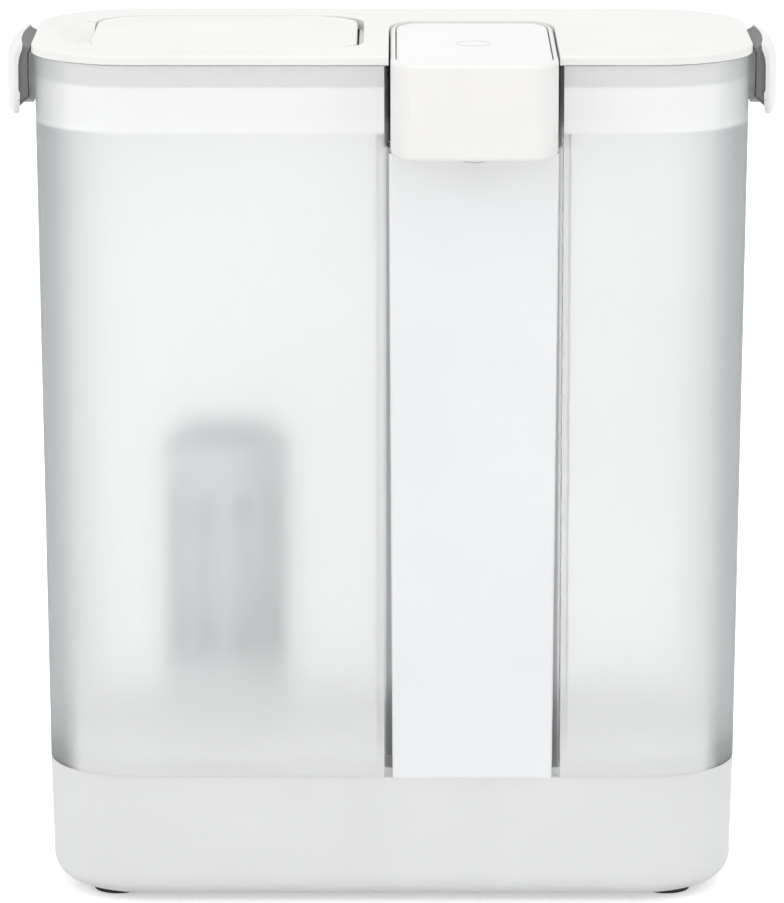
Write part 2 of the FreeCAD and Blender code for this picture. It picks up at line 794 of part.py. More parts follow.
def tap_base_cover():
    plate = tap_prism(-tap_wall - tap_cover_gap, tap_bottom, tap_cover_top)
    cradle_half = battery_radius + cradle_wall
    pieces = [plate]
    for end in (-1, 1):
        y = board_y + end * battery_length * cradle_share
        pieces.append(box(tap_x - cradle_half, tap_x + cradle_half, y - cradle_sheet / 2, y + cradle_sheet / 2,
                          tap_cover_top, battery_z))
        for side in (-1, 1):
            pieces.append(rod(board_post, tap_cover_top, board_bottom,
                              tap_x + side * (board_width / 2 - board_post_inset),
                              board_y + end * (board_length / 2 - board_post_inset)))
    cover = joined(pieces)
    cover = cover.cut(cross_rod(battery_radius + battery_gap, tap_front, tap_back, tap_x, battery_z))
    cover = cover.cut(rod(spout_radius + spout_gap, tap_bottom - overrun, tap_cover_top + overrun, tap_x, spout_y))
    cover = cover.cut(rod(spigot_radius + spout_gap, tap_bottom - overrun, tap_cover_top, tap_x, riser_y))
    cover = cover.cut(rod(spigot_flange + spout_gap, tap_cover_top - spigot_flange_height,
                          tap_cover_top, tap_x, riser_y))
    for x, y in tap_boss_places:
        cover = cover.cut(rod(tap_screw_radius + screw_gap, tap_bottom, tap_cover_top, x, y))
        cover = cover.cut(rod(tap_screw_head + screw_gap, tap_bottom, tap_bottom + tap_screw_head_height, x, y))
    return cover


def tap_screws():
    screws = []
    shoulder = tap_bottom + tap_screw_head_height
    for x, y in tap_boss_places:
        head = rod(tap_screw_head, tap_bottom, shoulder, x, y)
        shank = rod(tap_screw_radius, shoulder, tap_cover_top + tap_screw_bite, x, y)
        screws.append(joined([head, shank]))
    return Part.Compound(screws)


def dispense_button():
    plate = tap_prism(-button_inset - button_gap, button_bottom, tap_top - button_sink)
    plate = softened(plate, button_round, tap_top - button_sink)
    return joined([plate, rod(stem_radius, tap_top - stem_reach, button_bottom, tap_x, tap_y)])


def button_spring():
    """Arched leaf between the deck and the underside of the button."""
    y = tap_y + spring_offset
    rise = button_bottom - deck_top - spring_strip

    def leaf_point(x, z):
        return V(tap_x + x, y - spring_width / 2, deck_top + z)
    half = spring_span / 2
    lower = Part.Arc(leaf_point(-half, 0), leaf_point(0, rise), leaf_point(half, 0)).toShape()
    upper = Part.Arc(leaf_point(half, spring_strip), leaf_point(0, rise + spring_strip),
                     leaf_point(-half, spring_strip)).toShape()
    ends = [Part.makeLine(leaf_point(half, 0), leaf_point(half, spring_strip)),
            Part.makeLine(leaf_point(-half, spring_strip), leaf_point(-half, 0))]
    return Part.Face(Part.Wire([lower, ends[0], upper, ends[1]])).extrude(V(0, spring_width, 0))


# Pump, spout and electrics
def inlet_spigot():
    tip = tap_bottom - spigot_drop
    flange = tap_cover_top - spigot_flange_height
    groove = ring_groove(spigot_radius, (tip + tap_bottom) / 2, spigot_ring_section)
    return turned([(spigot_bore, tap_cover_top), (spigot_flange, tap_cover_top), (spigot_flange, flange),
                   (spigot_radius, flange)] + groove + [(spigot_radius, tip), (spigot_bore, tip)],
                  tap_x, riser_y)


def inlet_o_ring():
    level = tap_bottom - spigot_drop / 2
    return ring_seal(spigot_ring, spigot_ring_section, level, tap_x, riser_y)


def pump_housing():
    drum = rod(pump_radius, tap_cover_top, pump_top, tap_x, riser_y)
    drum = drum.cut(rod(chamber_radius, pump_floor, pump_roof, tap_x, riser_y))
    drum = drum.cut(rod(pump_eye, tap_cover_top - overrun, pump_floor, tap_x, riser_y))
    drum = drum.cut(rod(shaft_radius + pin_running_gap, pump_roof, pump_top + overrun, tap_x, riser_y))
    return drum.cut(cross_rod(outlet_radius + pin_seat_gap, riser_y - pump_radius - overrun, riser_y,
                              tap_x, outlet_level))


def impeller():
    top = pump_floor + impeller_gap + blade_height + impeller_disc
    foot = pump_floor + impeller_gap
    disc = rod(impeller_radius, top - impeller_disc, top, 0, 0)
    pieces = [disc, rod(impeller_hub, foot, top, 0, 0)]
    curve = impeller_radius * blade_curve_share
    for index in range(blade_count):
        arc = rod(curve + blade_sheet / 2, foot, top - impeller_disc, impeller_radius / 2, 0)
        arc = arc.cut(rod(curve - blade_sheet / 2, foot, top - impeller_disc, impeller_radius / 2, 0))
        arc = arc.common(box(0, impeller_radius, 0, impeller_radius, foot, top))
        arc = arc.common(rod(impeller_radius, foot, top, 0, 0))
        arc.rotate(V(0, 0, 0), UP, 360 * index / blade_count)
        pieces.append(arc)
    wheel = joined(pieces).cut(rod(shaft_radius + pin_seat_gap, foot - overrun, top + overrun, 0, 0))
    wheel.translate(V(tap_x, riser_y, 0))
    return wheel


def motor_shaft():
    return rod(shaft_radius, pump_floor + impeller_gap, pump_top + shaft_reach, tap_x, riser_y)


def pump_motor():
    can = softened(rod(motor_radius, pump_top, pump_top + motor_height, tap_x, riser_y),
                   motor_round, pump_top + motor_height)
    return can.cut(rod(shaft_radius + pin_running_gap, pump_top, pump_top + shaft_reach + overrun, tap_x, riser_y))


def outlet_tube():
    start = spout_y + spout_radius - outlet_bite
    end = riser_y - pump_radius + outlet_bite
    tube = cross_rod(outlet_radius, start, end, tap_x, outlet_level)
    return tube.cut(cross_rod(outlet_bore, start, end, tap_x, outlet_level))


def spout_nozzle():
    foot = tap_bottom - spout_proud
    roof = outlet_level + spout_bore
    flange_top = tap_cover_top + spigot_flange_height
    spout = turned([(0, roof), (spout_bore, roof), (spout_bore, foot), (spout_radius, foot),
                    (spout_radius, tap_cover_top), (spigot_flange, tap_cover_top), (spigot_flange, flange_top),
                    (spout_radius, flange_top), (spout_radius, roof + spout_roof), (0, roof + spout_roof)],
                   tap_x, spout_y)
    return spout.cut(cross_rod(outlet_radius + pin_seat_gap, spout_y, spout_y + spout_radius + overrun,
                               tap_x, outlet_level))


def circuit_board():
    return box(tap_x - board_width / 2, tap_x + board_width / 2, board_back - board_length, board_back,
               board_bottom, board_top)


def micro_switch():
    half = switch_side / 2
    return box(tap_x - half, tap_x + half, tap_y - half, tap_y + half, board_top, switch_top)


def battery_cell():
    half = battery_length / 2
    return cross_rod(battery_radius, board_y - half, board_y + half, tap_x, battery_z)


def usb_socket():
    half = usb_width / 2
    back = tap_back - tap_wall / 2
    shell = box(tap_x - half, tap_x + half, back - usb_length, back, board_top, board_top + usb_height)
    return shell.cut(box(tap_x - half + usb_shell, tap_x + half - usb_shell, back - usb_length + usb_shell,
                         back + overrun, board_top + usb_shell, board_top + usb_height - usb_shell))


# Every piece by name, moved so that the origin lies under the middle of the whole dispenser
pieces = {
    "tank": tank(), "base": base(), "base_screws": base_screws(),
    "filter_seat": filter_seat(), "filter_seat_seal": filter_seat_seal(),
    "filter_outlet_duct": filter_outlet_duct(), "riser_tube": riser_tube(), "riser_cover": riser_cover(),
    "lid": lid(), "lid_gasket": lid_gasket(), "tap_dock": tap_dock(),
    "left_latch_pin": latch_pin(-1), "right_latch_pin": latch_pin(1), "fill_cover_pin": fill_cover_pin(),
    "left_latch": latch(-1), "right_latch": latch(1),
    "fill_cover": fill_cover(), "fill_cover_seal": fill_cover_seal(),
    "filter_housing": filter_housing(), "filter_core": filter_core(), "filter_cap": filter_cap(),
    "tap_housing": tap_housing(), "tap_base_cover": tap_base_cover(), "tap_screws": tap_screws(),
    "dispense_button": dispense_button(), "button_spring": button_spring(),
    "inlet_spigot": inlet_spigot(), "inlet_o_ring": inlet_o_ring(),
    "pump_housing": pump_housing(), "impeller": impeller(), "motor_shaft": motor_shaft(),
    "pump_motor": pump_motor(), "outlet_tube": outlet_tube(), "spout_nozzle": spout_nozzle(),
    "circuit_board": circuit_board(), "micro_switch": micro_switch(),
    "battery_cell": battery_cell(), "usb_socket": usb_socket(),
}
for name, (x, y) in zip(("rear_right", "front_right", "rear_left", "front_left"),
                        [(post_x, post_y), (post_x, -post_y), (-post_x, post_y), (-post_x, -post_y)]):
    pieces["foot_" + name] = foot(x, y)

os.makedirs("parts", exist_ok=True)
for name, shape in pieces.items():
    shape.translate(V(0, tap_overhang / 2, 0))
    shape.exportStep("parts/" + name + ".step")
    print(name, len(shape.Solids), shape.isValid(), round(shape.Volume, 1))
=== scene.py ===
# %% [markdown]
# # Dressing a frosted water filter dispenser
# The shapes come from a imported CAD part: a drafted tank, a white lid with two side latches and a fill
# cover, a pumped tap head and a see-through base. This lesson gives each piece its finish, shapes the
# latches, the finger dish and a few small details, and sets a camera in a soft white studio.
# The part is loaded first, as a fixed frame. Nothing in it is moved, so every finish and every added
# piece is placed in the same metres as the drawing.

# %% Load the CAD part
import json
import math
import bmesh
import bpy
from mathutils import Matrix, Vector


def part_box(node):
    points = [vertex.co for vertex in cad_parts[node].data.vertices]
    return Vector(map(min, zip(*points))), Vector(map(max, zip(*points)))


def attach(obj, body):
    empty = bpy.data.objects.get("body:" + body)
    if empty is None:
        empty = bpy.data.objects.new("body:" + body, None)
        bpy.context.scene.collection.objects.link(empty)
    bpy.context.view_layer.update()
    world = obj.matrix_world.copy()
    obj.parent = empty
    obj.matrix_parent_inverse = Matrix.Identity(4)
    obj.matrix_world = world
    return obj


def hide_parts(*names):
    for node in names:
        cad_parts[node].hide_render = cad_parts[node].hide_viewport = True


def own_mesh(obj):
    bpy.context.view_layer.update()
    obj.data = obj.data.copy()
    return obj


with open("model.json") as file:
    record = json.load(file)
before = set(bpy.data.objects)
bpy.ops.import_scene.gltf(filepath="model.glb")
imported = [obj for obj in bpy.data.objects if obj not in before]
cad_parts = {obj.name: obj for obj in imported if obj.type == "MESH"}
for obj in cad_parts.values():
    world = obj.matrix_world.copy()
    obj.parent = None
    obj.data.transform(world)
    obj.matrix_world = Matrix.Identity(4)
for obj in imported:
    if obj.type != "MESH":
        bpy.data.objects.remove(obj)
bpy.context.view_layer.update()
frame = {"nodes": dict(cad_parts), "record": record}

nodes = frame["nodes"]
scene = bpy.context.scene

# %% [markdown]
# ## Camera
# The lid shows only as a shallow band and the sides of the tank stay nearly parallel, so the view is
# a long lens from a little above. Its distance, height and pitch were worked out from the corners of
# the lid, the seam and the base, and a long lens keeps the proportions true.

# %% Place the camera
camera_data = bpy.data.cameras.new("camera")
camera_data.lens = 224.8
camera_data.clip_end = 20
camera = bpy.data.objects.new("camera", camera_data)
camera.location = (0, -1.84255, 0.54944)
camera.rotation_euler = (math.radians(77.63), 0, 0)
scene.collection.objects.link(camera)
scene.camera = camera
scene.view_settings.view_transform = "Standard"
print("camera at", tuple(round(v, 3) for v in camera.location), "lens", camera_data.lens)

# %% [markdown]
# ## Writing shaders as sums
# A finish is a small graph of nodes. Wiring each node by hand hides the idea, so one class wraps a
# socket and lets Python's own operators add the Math nodes. Everything that isn't plain arithmetic
# comes from its method `node`, which sets a node's options first and then its inputs.

# %% The socket class
class Wire:
    def __init__(self, tree, socket):
        self.tree = tree
        self.socket = socket

    def node(self, kind, options=None, inputs=None, output=0):
        made = self.tree.nodes.new("ShaderNode" + kind)
        for name, value in (options or {}).items():
            setattr(made, name, value)
        for name, value in (inputs or {}).items():
            self.feed(value, made.inputs[name])
        return Wire(self.tree, made.outputs[output])

    def feed(self, value, socket):
        if isinstance(value, Wire):
            self.tree.links.new(value.socket, socket)
        else:
            socket.default_value = value

    def maths(self, operation, first, second):
        return self.node("Math", {"operation": operation}, {0: first, 1: second})

    def __add__(self, other):
        return self.maths("ADD", self, other)

    def __radd__(self, other):
        return self.maths("ADD", other, self)

    def __sub__(self, other):
        return self.maths("SUBTRACT", self, other)

    def __rsub__(self, other):
        return self.maths("SUBTRACT", other, self)

    def __mul__(self, other):
        return self.maths("MULTIPLY", self, other)

    def __rmul__(self, other):
        return self.maths("MULTIPLY", other, self)

    def noise(self, scale, detail=2.0):
        return self.node("TexNoise", None, {"Vector": self, "Scale": scale, "Detail": detail})

    def ramp(self, low, high):
        """Zero below low, one above high, straight between."""
        return self.node("MapRange", {"clamp": True}, {"Value": self, "From Min": low, "From Max": high})

    def axis(self, name):
        return self.node("SeparateXYZ", None, {0: self}, "XYZ".index(name))

    def mix(self, first, second):
        """Colour that goes from first to second as this value goes from zero to one."""
        return self.node("Mix", {"data_type": "RGBA"}, {0: self, 6: first, 7: second}, 2)


print("socket class ready")

# %% [markdown]
# ## Studio
# The object stands on a pale floor in soft, even light. The world lights it at a plain level, while
# the camera, and anything mirrored or seen through plastic, meets pure white: Light Path tells those
# rays apart. The floor is an ordinary matt surface with a little of that white added, so that it
# still takes the object's shadow.

# %% World, floor and lamps
WHITE_RAYS = ("Is Camera Ray", "Is Glossy Ray", "Is Transmission Ray")


def seen_white(tree):
    """One for rays from the camera, or from a mirror or clear surface, and zero for the others."""
    path = tree.nodes.new("ShaderNodeLightPath")
    rays = [Wire(tree, path.outputs[name]) for name in WHITE_RAYS]
    return rays[0].maths("MINIMUM", rays[0] + rays[1] + rays[2], 1.0)


WORLD_LIGHT = 0.82
FLOOR_GLOW = 0.43
world = bpy.data.worlds.new("studio")
world.use_nodes = True
scene.world = world
background = world.node_tree.nodes["Background"]
background.inputs["Color"].default_value = (1, 1, 1, 1)
white = seen_white(world.node_tree)
white.feed(WORLD_LIGHT + white * (1 - WORLD_LIGHT), background.inputs["Strength"])

floor_mesh = bmesh.new()
bmesh.ops.create_grid(floor_mesh, x_segments=1, y_segments=1, size=6)
floor_data = bpy.data.meshes.new("floor")
floor_mesh.to_mesh(floor_data)
floor_mesh.free()
floor = bpy.data.objects.new("floor", floor_data)
scene.collection.objects.link(floor)
floor_finish = bpy.data.materials.new("pale_floor")
floor_finish.use_nodes = True
floor_shader = floor_finish.node_tree.nodes["Principled BSDF"]
floor_shader.inputs["Base Color"].default_value = (0.86, 0.86, 0.86, 1)
floor_shader.inputs["Roughness"].default_value = 0.9
floor_shader.inputs["Specular IOR Level"].default_value = 0.0
floor_shader.inputs["Emission Strength"].default_value = FLOOR_GLOW
glow = seen_white(floor_finish.node_tree)
glow.feed(glow, floor_shader.inputs["Emission Color"])
floor_data.materials.append(floor_finish)


def softbox(name, place, target, size, power):
    lamp = bpy.data.lights.new(name, "AREA")
    lamp.shape = "RECTANGLE"
    lamp.size, lamp.size_y = size
    lamp.energy = power
    made = bpy.data.objects.new(name, lamp)
    made.location = place
    made.rotation_euler = (Vector(target) - Vector(place)).to_track_quat("-Z", "Y").to_euler()
    scene.collection.objects.link(made)


MIDDLE = (0, 0, 0.15)
softbox("top_softbox", (0.1, -0.25, 1.7), MIDDLE, (1.6, 1.2), 4.5)
softbox("left_softbox", (-1.5, -1.3, 0.9), MIDDLE, (0.9, 1.4), 6.5)
softbox("right_softbox", (1.6, -1.2, 0.8), MIDDLE, (0.8, 1.4), 4.5)
print("studio: world", WORLD_LIGHT, "and", len(bpy.data.lights), "softboxes")

# %% [markdown]
# ## Finishes
# Each material slot of the part gets one finish. They all start alike: a Principled shader whose even
# values are set on its own sockets, and Object coordinates, which are metres in the drawing, so a grain
# keeps its true size on every piece.

# %% Start a finish
def start_finish(name, settings):
    finish = bpy.data.materials.new(name)
    finish.use_nodes = True
    tree = finish.node_tree
    shader = tree.nodes["Principled BSDF"]
    for socket, value in settings.items():
        shader.inputs[socket].default_value = value
    place = tree.nodes.new("ShaderNodeTexCoord")
    return finish, shader, Wire(tree, place.outputs["Object"])


def raise_grain(place, shader, height, depth):
    """Bump of the given depth in metres."""
    normal = place.node("Bump", None, {"Height": height, "Distance": depth, "Strength": 1.0})
    place.feed(normal, shader.inputs["Normal"])


def mottled(noise, colour, darkest, spread=(0.35, 0.65)):
    """Colour that drifts with a noise, down to the darkest share of itself."""
    shade = tuple(darkest * c for c in colour)
    return noise.ramp(*spread).mix((*shade, 1), (*colour, 1))


finishes = {}
print("finishes start empty")

# %% [markdown]
# ### Moulded plastics
# The lid, latches, tap and inner parts are injection moulded. A mould is spark eroded, which leaves a
# grain of a fraction of a millimetre, and big flat faces drift a little in gloss. Noise at two scales
# gives both, and a slow third noise keeps the colour from being flat.

# %% Moulded plastic
COLOUR_DRIFT, GLOSS_DRIFT, MOULD_GRAIN = 16.0, 90.0, 1500.0


def moulded(name, colour, roughness, grain=MOULD_GRAIN, depth=0.000012, settings=None):
    finish, shader, place = start_finish(name, settings or {})
    place.feed(mottled(place.noise(COLOUR_DRIFT), colour, 0.965), shader.inputs["Base Color"])
    place.feed(roughness + 0.14 * (place.noise(GLOSS_DRIFT, 4.0) - 0.5), shader.inputs["Roughness"])
    raise_grain(place, shader, place.noise(grain, 3.0), depth)
    finishes[name] = finish


moulded("white_satin", (0.9, 0.892, 0.878), 0.42)
moulded("white_gloss", (0.88, 0.878, 0.872), 0.14, depth=0.000003,
        settings={"Coat Weight": 0.4, "Coat Roughness": 0.06})
moulded("pale_panel", (0.875, 0.882, 0.892), 0.4)
moulded("filter_plastic", (0.72, 0.735, 0.755), 0.5)
moulded("painted_shade_grey", (0.2, 0.198, 0.196), 0.6)
moulded("black_plastic", (0.03, 0.03, 0.032), 0.4)
moulded("battery_wrap", (0.07, 0.16, 0.36), 0.3, depth=0.000004)
print("moulded finishes:", len(finishes))

# %% [markdown]
# ### Frosted plastic
# The tank and base are see-through plastic with an etched face: light goes through, but its direction
# is spread, so things close behind the wall show and things further back blur. A rough transmission
# does just that, and the rest of the light meets a milky matt layer. The pipes of the water way are
# clearer still and have no such layer, which keeps them faint behind the walls.
#
# Where the wall is seen end on, at the rounded ends, it is painted darker in a grey-green: painted
# shade where the ends turn from the light. The channel behind the front panel is painted dark too,
# painted shade in that recess. The band where the lid's skirt sits behind the wall is made milkier,
# standing in for the white skirt seen through, and the foot of the front wall is made milkier as
# painted light over the shade that shows through there. Each pair below is where such a share
# starts to change and where it stops, in metres.

# %% Frosted walls
CLEAR_WHITE, MILK_WHITE = (0.985, 0.988, 0.99), (0.96, 0.965, 0.967, 1)
END_SHADE_SPAN, FRONT_WALL, LOW_WALL = (0.1035, 0.1165), (-0.036, -0.03), (0.05, 0.092)
CHANNEL_MIDDLE, CHANNEL_SIDE = 0.0265, (0.0281, 0.0287)
CHANNEL_BACK, CHANNEL_FOOT = (-0.0245, -0.0235), (0.047, 0.0476)
SKIRT_FOOT, SKIRT_TOP = (0.2596, 0.2606), (0.2746, 0.2756)


def frosted(name, colour, roughness, see_through, ior, tints=(), milky=None):
    """Etched plastic. Each tint is a share from zero to one and a colour, and milky a share of matt white."""
    settings = {"Transmission Weight": see_through, "IOR": ior}
    finish, shader, place = start_finish(name, settings)
    base = mottled(place.noise(9.0), colour, 0.975)
    for share, tint in tints:
        base = share(place).mix(base, (*tint, 1))
    place.feed(base, shader.inputs["Base Color"])
    place.feed(roughness + 0.06 * (place.noise(220.0, 3.0) - 0.5), shader.inputs["Roughness"])
    raise_grain(place, shader, place.noise(1100.0, 3.0), 0.00001)
    if milky:
        milk = place.node("BsdfPrincipled", None, {"Base Color": MILK_WHITE, "Roughness": 0.45})
        etched = Wire(place.tree, shader.outputs[0])
        surface = place.node("MixShader", None, {0: milky(place), 1: etched, 2: milk})
        place.feed(surface, place.tree.nodes["Material Output"].inputs["Surface"])
    finishes[name] = finish


def off_middle(place, middle):
    gap = place.axis("X") - middle
    return gap.maths("ABSOLUTE", gap, 0.0)


# Painted shade: the rounded ends of the wall are tinted darker and made less milky, by position only.
def painted_end_shade(place):
    return 0.9 * off_middle(place, 0.0).ramp(*END_SHADE_SPAN)


# Painted shade: the channel behind the front panel is tinted dark and kept clear of matt white.
def painted_channel_shade(place):
    beside = 1 - off_middle(place, CHANNEL_MIDDLE).ramp(*CHANNEL_SIDE)
    before = 1 - place.axis("Y").ramp(*CHANNEL_BACK)
    return 0.9 * beside * before * place.axis("Z").ramp(*CHANNEL_FOOT)


def skirt_milk_and_painted_light(place):
    """Share of matt white: most where the skirt sits behind the wall, less at the rim above it, and low at
    the front as painted light.
    """
    height = place.axis("Z")
    rim = height.ramp(*SKIRT_TOP)
    front = 1 - place.axis("Y").ramp(*FRONT_WALL)
    # The low front band is painted light: a milkier wall over the shade that shows through it.
    low = (1 - height.ramp(*LOW_WALL)) * front
    share = 0.9 * (height.ramp(*SKIRT_FOOT) - rim) + 0.62 * rim + 0.6 * low
    return share * (1 - painted_channel_shade(place)) * (1 - 0.8 * painted_end_shade(place))


def all_over(place):
    return 0.66 + 0.2 * (place.noise(30.0) - 0.5)


# The end and channel tints below are painted shade.
frosted("frosted_tank", CLEAR_WHITE, 0.46, 0.8, 1.22,
        [(painted_end_shade, (0.5, 0.535, 0.54)), (painted_channel_shade, (0.5, 0.51, 0.52))], skirt_milk_and_painted_light)
frosted("frosted_base", CLEAR_WHITE, 0.42, 0.84, 1.2, [(painted_end_shade, (0.66, 0.69, 0.695))], all_over)
frosted("water_plastic", CLEAR_WHITE, 0.35, 0.88, 1.1)
print("frosted finishes made")

# %% [markdown]
# ### Rubber, seals, metal and the rest
# Rubber and silicone are matt with a fine open grain. Drawn steel has streaks along its length, so its
# noise is stretched. The carbon block is pressed from granules, and the circuit board shows its tracks
# as a faint grid under green lacquer.

# %% Rubber and silicone
def rubber(name, colour, roughness):
    finish, shader, place = start_finish(name, {"Specular IOR Level": 0.3})
    place.feed(mottled(place.noise(60.0), colour, 0.8, (0.3, 0.7)), shader.inputs["Base Color"])
    place.feed(roughness + 0.15 * (place.noise(400.0) - 0.5), shader.inputs["Roughness"])
    raise_grain(place, shader, place.noise(2200.0, 4.0), 0.00003)
    finishes[name] = finish


rubber("dark_rubber", (0.05, 0.05, 0.054), 0.75)
rubber("pale_seal", (0.62, 0.65, 0.68), 0.55)
print("rubber finishes made")


# %% Steel
def drawn_steel(name, colour, roughness, stretch):
    finish, shader, place = start_finish(name, {"Metallic": 1.0})
    along = place.node("Mapping", None, {"Vector": place, "Scale": stretch})
    streak = along.noise(1.0, 3.0)
    place.feed(mottled(streak, colour, 0.8), shader.inputs["Base Color"])
    place.feed(roughness + 0.25 * (streak - 0.5), shader.inputs["Roughness"])
    raise_grain(place, shader, streak, 0.000008)
    finishes[name] = finish


drawn_steel("steel", (0.62, 0.62, 0.63), 0.3, (900, 60, 900))
drawn_steel("motor_can", (0.55, 0.56, 0.57), 0.38, (700, 700, 40))
print("steel finishes made")

# %% Carbon and circuit board
carbon, carbon_shader, place = start_finish("carbon_block", {"Roughness": 0.85})
granules = place.node("TexVoronoi", None, {"Vector": place, "Scale": 900.0})
place.feed(granules.ramp(0.1, 0.7).mix((0.012, 0.012, 0.013, 1), (0.05, 0.05, 0.052, 1)),
           carbon_shader.inputs["Base Color"])
raise_grain(place, carbon_shader, granules, 0.0001)
finishes["carbon_block"] = carbon

board, board_shader, place = start_finish("board_green", {"Coat Weight": 0.3})
tracks = place.node("TexBrick", {"offset": 0.0}, {"Vector": place, "Scale": 300.0, "Mortar Size": 0.12})
place.feed(tracks.mix((0.02, 0.16, 0.07, 1), (0.05, 0.26, 0.12, 1)), board_shader.inputs["Base Color"])
place.feed(0.3 + 0.2 * place.noise(500.0), board_shader.inputs["Roughness"])
finishes["board_green"] = board
print("all finishes:", sorted(finishes))

# %% [markdown]
# ## Dress the CAD nodes
# The record says which slot each node takes its finish from, so one loop dresses them all.

# %% Assign the finishes
slot_of = {row["node"]: row["material_slot"] for row in frame["record"]["subparts"]}
for name, node in nodes.items():
    node.data.materials.clear()
    node.data.materials.append(finishes[slot_of[name]])
print("dressed", len(nodes), "nodes")

# %% [markdown]
# ## Fleece sleeve
# A carbon block is wrapped in pale fleece, which shows between the slots of the cartridge. The sleeve is
# a thin tube between the block and the housing, and it rides with the cartridge when that is lifted out.

# %% Make the sleeve
def lay_in(name, mesh, finish, body):
    """Turn a finished bmesh into an object that rides on a body."""
    data = bpy.data.meshes.new(name)
    bmesh.ops.recalc_face_normals(mesh, faces=mesh.faces)
    mesh.to_mesh(data)
    mesh.free()
    data.materials.append(finish)
    made = bpy.data.objects.new(name, data)
    scene.collection.objects.link(made)
    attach(made, body)
    return made


def tube(radius, low, high, middle, wall):
    """Open tube with a wall, from a circle that is raised and then thickened."""
    mesh = bmesh.new()
    bmesh.ops.create_circle(mesh, cap_ends=False, radius=radius, segments=64,
                            matrix=Matrix.Translation((middle.x, middle.y, low)))
    raised = bmesh.ops.extrude_edge_only(mesh, edges=mesh.edges[:])
    top = [v for v in raised["geom"] if isinstance(v, bmesh.types.BMVert)]
    bmesh.ops.translate(mesh, verts=top, vec=(0, 0, high - low))
    bmesh.ops.recalc_face_normals(mesh, faces=mesh.faces)
    bmesh.ops.solidify(mesh, geom=mesh.faces[:], thickness=wall)
    for face in mesh.faces:
        face.smooth = True
    return mesh


SLEEVE_RADIUS, SLEEVE_WALL = 0.0183, 0.0008
core_low, core_high = [Vector(corner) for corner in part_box("filter_core")]
moulded("fleece", (0.76, 0.77, 0.785), 0.8, grain=700.0, depth=0.00008)
sleeve = tube(SLEEVE_RADIUS, core_low.z, core_high.z, (core_low + core_high) / 2, SLEEVE_WALL)
lay_in("filter_fleece", sleeve, finishes["fleece"], "filter_cartridge")
print("sleeve from", round(core_low.z, 4), "to", round(core_high.z, 4))

# %% [markdown]
# ## Latches
# Each latch hangs outside the lid's edge: a thin wing, bowed outwards in plan, whose rounded top dips
# towards the rim. Its section is drawn once, drawn out along the edge in small steps, and bowed there.
# A hook inside it grips the lug of the tank, and a dark grey block inside the wing is painted shade where
# the latch's inner side lies in shadow. The rim of the lid runs on unbroken behind the wing.

# %% Draw out a section along the lid's end
MM = 0.001
END_MIDDLE = 0.010


def drawn_out(section, half, steps):
    """Solid with the given section in x and z, in millimetres, drawn out along y."""
    mesh = bmesh.new()
    corners = [mesh.verts.new((x * MM, END_MIDDLE - half, z * MM)) for x, z in section]
    face = mesh.faces.new(corners)
    bmesh.ops.spin(mesh, geom=[face] + face.edges[:] + corners, cent=(0, 0, 0), axis=(0, 0, 1),
                   dvec=(0, 2 * half / steps, 0), angle=0.0, steps=steps, use_merge=False)
    open_edges = [edge for edge in mesh.edges if edge.is_boundary]
    bmesh.ops.contextual_create(mesh, geom=open_edges)
    return mesh


def mirrored(mesh):
    bmesh.ops.scale(mesh, verts=mesh.verts[:], vec=(-1, 1, 1))
    bmesh.ops.reverse_faces(mesh, faces=mesh.faces[:])
    return mesh


def soft_edges(made, angle=40):
    """Smooth shading, with edges sharper than the angle left crisp."""
    for face in made.data.polygons:
        face.use_smooth = True
    made.data.set_sharp_from_angle(angle=math.radians(angle))


print("sections are drawn out about y =", END_MIDDLE)

# %% Latch wings and the rim behind them
WING = [(125.9, 260.6), (126.8, 261.8), (127.1, 263.6), (127.1, 271), (127.1, 278), (126.7, 280.6),
        (125.8, 282.7), (124.6, 284.2), (123.2, 284.9), (122.2, 284.7), (122.6, 282.6), (123.6, 281.2),
        (124.3, 279.6), (124.7, 277.5), (124.7, 271), (124.7, 263.4), (124.4, 261.2), (123.9, 260.6)]
# The second section is a dark grey block inside the wing: painted shade where the latch's inner side lies in
# shadow.
SHADE_BLOCK_SECTION = [(118.7, 282.1), (118.7, 282.9), (120.2, 283.4), (121.4, 283.9), (122.3, 284.3), (122.8, 282.7),
       (123.8, 281.3), (124.5, 279.6), (124.9, 277.5), (124.9, 271), (124.9, 263.8), (124.5, 262.2),
       (119.7, 266.4), (119.7, 281.6), (119.6, 281.9)]
RIM = [(114.1, 282.45), (118, 282.45), (118, 284.5), (117.9, 284.9), (117.7, 285.2), (117.4, 285.4),
       (117, 285.5), (114.1, 285.5)]
HOOK = [(118.1, 263.8), (125, 263.8), (125, 265.6), (118.1, 265.6)]
WING_HALF, SHADE_BLOCK_HALF, HOOK_HALF, RIM_HALF = 0.023, 0.0222, 0.012, 0.0233
WING_BOW, WING_CORNER, WING_EASE, WING_STEPS = 0.0033, 0.008, 0.003, 32
LIP, FACE, TIP = 0.1187, 0.1271, 0.2606


def bow(vertex):
    """Bow the wing outwards in plan, leaving its lip straight, and round its lower corners."""
    share = (vertex.co.y - END_MIDDLE) / WING_HALF
    reach = (vertex.co.x - LIP) / (FACE - LIP)
    vertex.co.x -= WING_BOW * share ** 2 * reach
    past = min(WING_CORNER, max(0.0, abs(share) * WING_HALF - WING_HALF + WING_CORNER))
    floor = TIP + WING_CORNER - math.sqrt(WING_CORNER ** 2 - past ** 2)
    if vertex.co.z < floor + WING_EASE:
        vertex.co.z = floor + (vertex.co.z - TIP) * (WING_EASE / (floor + WING_EASE - TIP))


